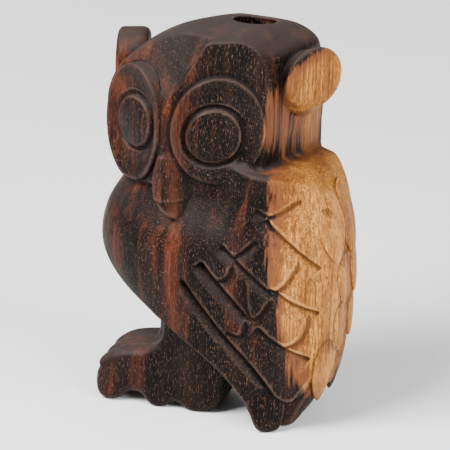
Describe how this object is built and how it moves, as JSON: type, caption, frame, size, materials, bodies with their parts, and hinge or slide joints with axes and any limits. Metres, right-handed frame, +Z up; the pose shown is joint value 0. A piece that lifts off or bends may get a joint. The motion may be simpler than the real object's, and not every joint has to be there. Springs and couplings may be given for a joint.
{
  "type": "carved wooden owl figurine",
  "caption": "Free-standing owl carved from one block of dark, streaky hardwood with a pale sapwood corner; head turned over the left wing, hole drilled in the crown.",
  "frame": {"origin": "on the ground, under the middle of the bounding box", "axes": "+Z up; -X the way the breast and toes point; -Y the side of the left wing, which the face looks over"},
  "size_m": [0.067, 0.0403, 0.1],
  "materials": {
    "heartwood": "waxed satin",
    "sapwood": "waxed satin"
  },
  "bodies": {
    "root": {"torso": "heartwood", "back_feathers": "sapwood", "left_coverts": "sapwood", "left_wing_feathers": "sapwood", "left_primary": "heartwood", "right_coverts": "heartwood", "right_wing_feathers": "heartwood", "right_primary": "heartwood", "left_outer_tail_feather": "heartwood", "left_tail_feather": "sapwood", "middle_tail_feather": "heartwood", "right_tail_feather": "heartwood", "right_outer_tail_feather": "heartwood", "head": "heartwood", "left_brow": "heartwood", "right_brow": "heartwood", "left_eye_disc": "heartwood", "right_eye_disc": "heartwood", "left_pupil": "heartwood", "right_pupil": "heartwood", "beak": "heartwood", "left_ear": "sapwood", "right_ear": "heartwood", "left_leg": "heartwood", "right_leg": "heartwood", "left_toe": "heartwood", "middle_toe": "heartwood", "right_toe": "heartwood"}
  },
  "joints": []
}
